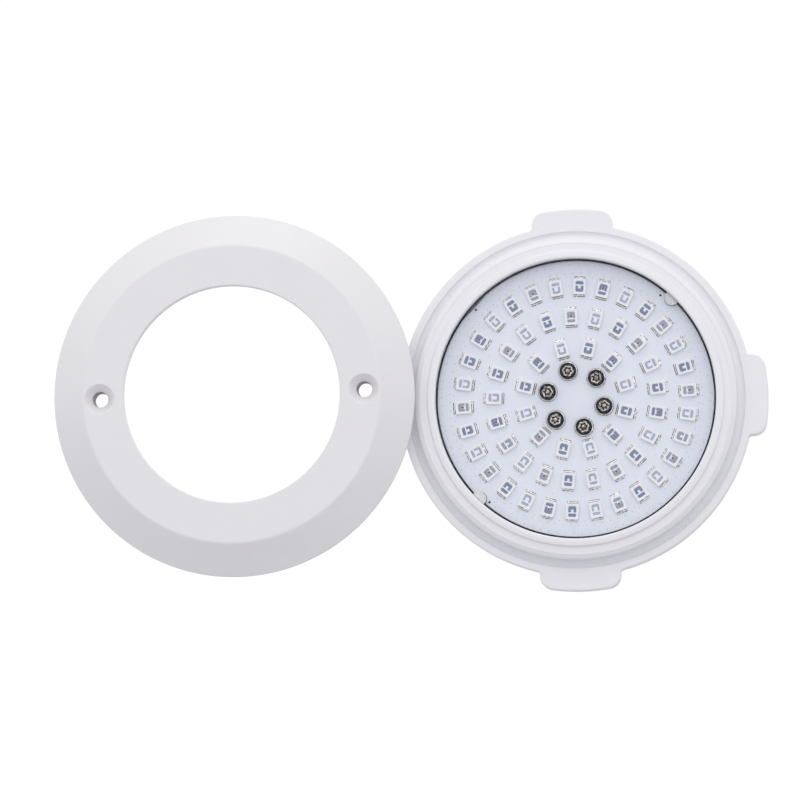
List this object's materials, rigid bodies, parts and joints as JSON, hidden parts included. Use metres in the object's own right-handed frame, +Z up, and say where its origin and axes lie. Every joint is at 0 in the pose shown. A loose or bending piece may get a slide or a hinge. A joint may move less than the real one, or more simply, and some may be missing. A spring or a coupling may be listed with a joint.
{
  "type": "underwater pool light",
  "caption": "Flat round wall-mounted underwater LED lamp with grip tabs, clear lens, threaded rear spigot and cable gland, and its bevelled two-screw face ring beside it.",
  "frame": {"origin": "on the lamp's axis, in the plane of the housing's rear face, where the threaded spigot starts and the lamp meets the wall", "axes": "+Y along the lamp's axis, into the wall; the lamp faces -Y; +Z up; +X to the right as seen from the front, so that the face ring lies on the -X side"},
  "size_m": [0.1569, 0.0705, 0.0842],
  "materials": {
    "housing_white": "moulded white ABS, satin gloss",
    "ring_white": "moulded white ABS, glossy",
    "lens_clear": "clear polycarbonate, polished",
    "seal_black": "black rubber, matte",
    "board_white": "white solder mask, satin",
    "led_white": "white moulded package with clear window",
    "solder": "tinned, uneven",
    "screw_black": "blackened steel, bright recess",
    "bright_steel": "plated steel",
    "pin_white": "white nylon",
    "plate_black": "black anodised aluminium",
    "pad_grey": "grey silicone pad",
    "driver_green": "green solder mask",
    "brass": "turned brass",
    "chip_black": "moulded epoxy",
    "capacitor_sleeve": "sleeved aluminium can",
    "ferrite": "ferrite, matte",
    "copper": "enamelled copper wire",
    "terminal_green": "moulded nylon",
    "resin_grey": "cast resin",
    "gland_grey": "grey nylon, satin"
  },
  "bodies": {
    "lamp": {"rear_housing": "housing_white", "front_bezel": "housing_white", "bezel_seal": "seal_black", "lens": "lens_clear", "lens_seal": "seal_black", "led_board": "board_white", "leds_red": "led_white", "leds_green": "led_white", "leds_blue": "led_white", "led_terminals": "solder", "board_screws": "screw_black", "screw_washers": "bright_steel", "locating_pins": "pin_white", "heat_plate": "plate_black", "thermal_pad": "pad_grey", "plate_screws": "bright_steel", "wall_gasket": "seal_black", "driver_board": "driver_green", "driver_standoffs": "brass", "driver_screws": "bright_steel", "rectifier": "chip_black", "capacitors": "capacitor_sleeve", "inductor_core": "ferrite", "inductor_winding": "copper", "controller_chip": "chip_black", "switching_transistors": "chip_black", "link_header": "chip_black", "link_pins": "brass", "terminal_block": "terminal_green", "potting_resin": "resin_grey", "gland_body": "gland_grey", "gland_washer": "seal_black", "gland_locknut": "gland_grey", "gland_seal": "seal_black"},
    "face_ring": {"face_ring": "ring_white"},
    "gland_clamp": {"gland_clamp": "gland_grey"},
    "gland_nut": {"gland_nut": "gland_grey"}
  },
  "joints": [
    {"name": "face_ring_slide", "type": "slide", "parent": "lamp", "child": "face_ring", "axis": [1, 0, 0], "range_m": [0, 0.07493]},
    {"name": "gland_clamp_slide", "type": "slide", "parent": "lamp", "child": "gland_clamp", "axis": [0, 1, 0], "range_m": [0, 0.0023]},
    {"name": "gland_nut_turn", "type": "hinge", "parent": "gland_clamp", "child": "gland_nut", "pos_m": [0, 0.04, 0], "axis": [0, 1, 0], "range_deg": [0, 540]}
  ],
  "couplings": [
    {"joint": "gland_clamp_slide", "follows": "gland_nut_turn", "m_per_rad": 0.00023873}
  ]
}
